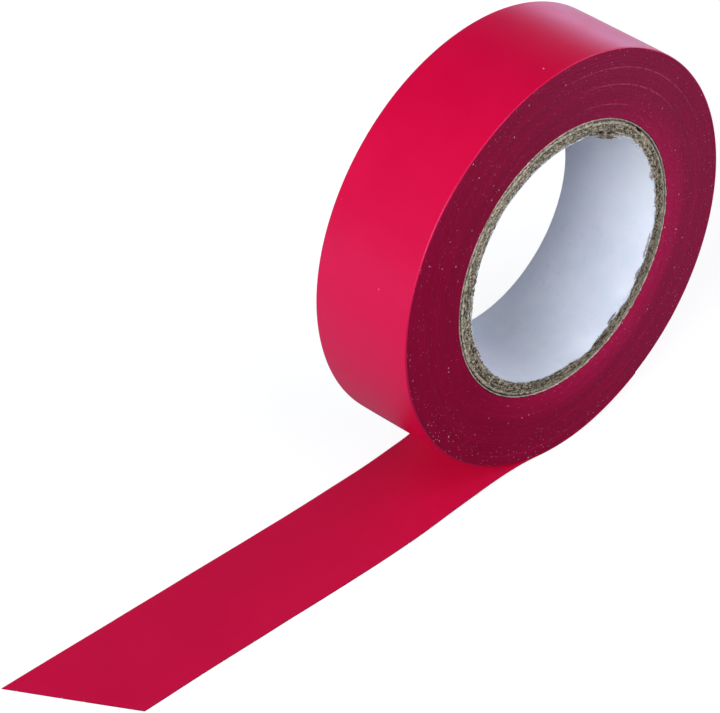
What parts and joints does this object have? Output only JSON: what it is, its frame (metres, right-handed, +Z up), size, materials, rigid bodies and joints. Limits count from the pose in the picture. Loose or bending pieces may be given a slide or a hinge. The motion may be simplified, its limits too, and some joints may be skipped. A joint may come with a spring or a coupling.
{
  "type": "electrical tape roll",
  "caption": "Roll of red PVC insulating tape on a paper core, standing on its rim, with its free end laid out flat and cut at a slant; the roll turns and the free end lifts.",
  "frame": {"origin": "centre of the core's bore, midway between the roll's side faces", "axes": "+Y along the bore, +Z up from the roll's lowest line, and the free end of the tape leaves the bottom of the roll towards -X"},
  "size_m": [0.1086, 0.016, 0.0555],
  "materials": {
    "liner_paper": "cool white, smooth calendered paper with faint smudges",
    "core_board": "grey-brown recycled board, speckled and fibrous on the sawn ends",
    "core_kraft": "pale cream kraft paper",
    "tape_film": "crimson plasticised PVC film, satin gloss outside, dark and dull on the wound edges",
    "tape_strip": "crimson PVC film with a clear pressure-sensitive adhesive coat on its upper side"
  },
  "bodies": {
    "strip_base": {"strip_start": "tape_strip"},
    "roll": {"core_liner": "liner_paper", "core_inner_ply": "core_board", "core_outer_ply": "core_board", "core_wrap": "core_kraft", "wound_tape": "tape_film"},
    "tail": {"tail_near": "tape_strip"},
    "tail_end": {"tail_tip": "tape_strip"}
  },
  "joints": [
    {"name": "roll_turn", "type": "hinge", "parent": "strip_base", "child": "roll", "pos_m": [0, 0, 0], "axis": [0, 1, 0], "continuous": true},
    {"name": "tail_lift", "type": "hinge", "parent": "strip_base", "child": "tail", "pos_m": [-0.022, -0.00065, -0.02769], "axis": [0, 1, 0], "range_deg": [0, 60]},
    {"name": "end_curl", "type": "hinge", "parent": "tail", "child": "tail_end", "pos_m": [-0.05, -0.001, -0.02769], "axis": [0, 1, 0], "range_deg": [0, 60]}
  ]
}
